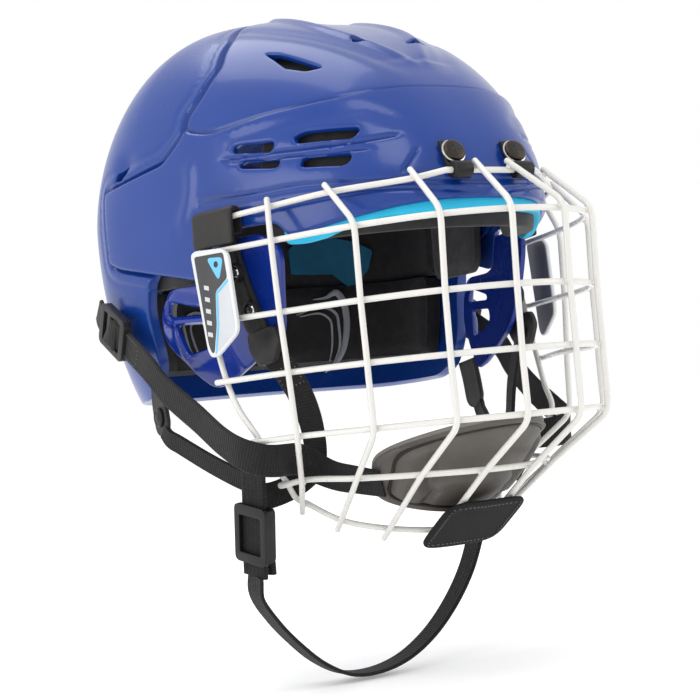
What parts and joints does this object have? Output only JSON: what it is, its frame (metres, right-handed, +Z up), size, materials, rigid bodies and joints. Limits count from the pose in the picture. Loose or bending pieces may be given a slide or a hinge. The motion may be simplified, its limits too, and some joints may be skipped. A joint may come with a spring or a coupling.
{
  "type": "ice hockey helmet with wire face cage",
  "caption": "Open-front ice hockey helmet with a flip-up wire face cage, ear guards, chin cup and chin strap; rear shell slides to fit.",
  "frame": {"origin": "middle of the head cavity, held as a head holds a hat", "axes": "+Z up through the crown, helmet faces -Y, wearer right is -X"},
  "size_m": [0.2206, 0.2926, 0.3382],
  "materials": {
    "shell_blue": "high gloss cobalt blue",
    "rear_blue": "gloss cobalt blue",
    "ear_blue": "gloss blue, slightly translucent",
    "liner_cyan": "matte moulded foam",
    "foam_teal": "moulded foam",
    "foam_black": "matte foam with knit face",
    "wire_white": "warm white powder coat",
    "plate_white": "printed satin label plate",
    "cup_grey": "moulded soft grey",
    "screw_black": "black oxide",
    "snap_metal": "dark nickel",
    "webbing": "woven polyester webbing",
    "black_plastic": "satin black moulding"
  },
  "bodies": {
    "helmet": {"shell_front": "shell_blue", "brow_liner": "liner_cyan", "pad_forehead": "foam_black", "pad_crown": "foam_black", "pad_temple_r": "foam_black", "pad_temple_l": "foam_black", "ear_guard_r": "ear_blue", "ear_guard_l": "ear_blue", "snap_strip_r": "black_plastic", "snap_strip_l": "black_plastic", "snap_upper_r": "snap_metal", "snap_upper_l": "snap_metal", "snap_lower_r": "snap_metal", "snap_lower_l": "snap_metal", "forehead_clip_r": "black_plastic", "forehead_clip_l": "black_plastic", "clip_screw_r": "screw_black", "clip_screw_l": "screw_black", "leg_snap_r": "black_plastic", "leg_snap_l": "black_plastic", "rear_leg_r": "webbing", "rear_leg_l": "webbing", "front_leg_r": "webbing", "front_leg_l": "webbing", "ribbed_drop_r": "webbing", "strap_loop": "webbing", "strap_tail_r": "webbing"},
    "rear_shell": {"shell_rear": "rear_blue", "pad_rear_upper": "foam_teal", "pad_occipital": "foam_black"},
    "cage": {"cage_top_wire": "wire_white", "cage_row_2": "wire_white", "cage_row_3": "wire_white", "cage_row_4": "wire_white", "cage_row_5": "wire_white", "cage_row_6": "wire_white", "cage_vertical_r1": "wire_white", "cage_vertical_r2": "wire_white", "cage_vertical_r3": "wire_white", "cage_vertical_r4": "wire_white", "cage_vertical_l1": "wire_white", "cage_vertical_l2": "wire_white", "cage_vertical_l3": "wire_white", "cage_vertical_l4": "wire_white", "cage_rim_wire": "wire_white", "corner_sleeve_r": "black_plastic", "corner_sleeve_l": "black_plastic", "side_plate_r": "plate_white", "side_plate_l": "plate_white", "chin_flap": "black_plastic", "cup_strap_r": "webbing", "cup_strap_l": "webbing", "ladder_lock_r": "black_plastic", "ladder_lock_l": "black_plastic", "lock_tab_r": "black_plastic", "lock_tab_l": "black_plastic"},
    "chin_cup_body": {"chin_cup": "cup_grey", "chin_pad": "foam_black"},
    "slider": {"strap_slider": "black_plastic"}
  },
  "joints": [
    {"name": "cage_flip", "type": "hinge", "parent": "helmet", "child": "cage", "pos_m": [0, -0.133, -0.0016], "axis": [-1, 0, 0], "range_deg": [0, 70]},
    {"name": "rear_adjust", "type": "slide", "parent": "helmet", "child": "rear_shell", "axis": [0, 1, 0], "range_m": [0, 0.01]},
    {"name": "chin_tilt", "type": "hinge", "parent": "cage", "child": "chin_cup_body", "pos_m": [0, -0.081, -0.1606], "axis": [-1, 0, 0], "range_deg": [0, 8]},
    {"name": "slider_slide", "type": "slide", "parent": "helmet", "child": "slider", "axis": [0.0513, 0.2423, -0.9688], "range_m": [0, 0.005]}
  ]
}
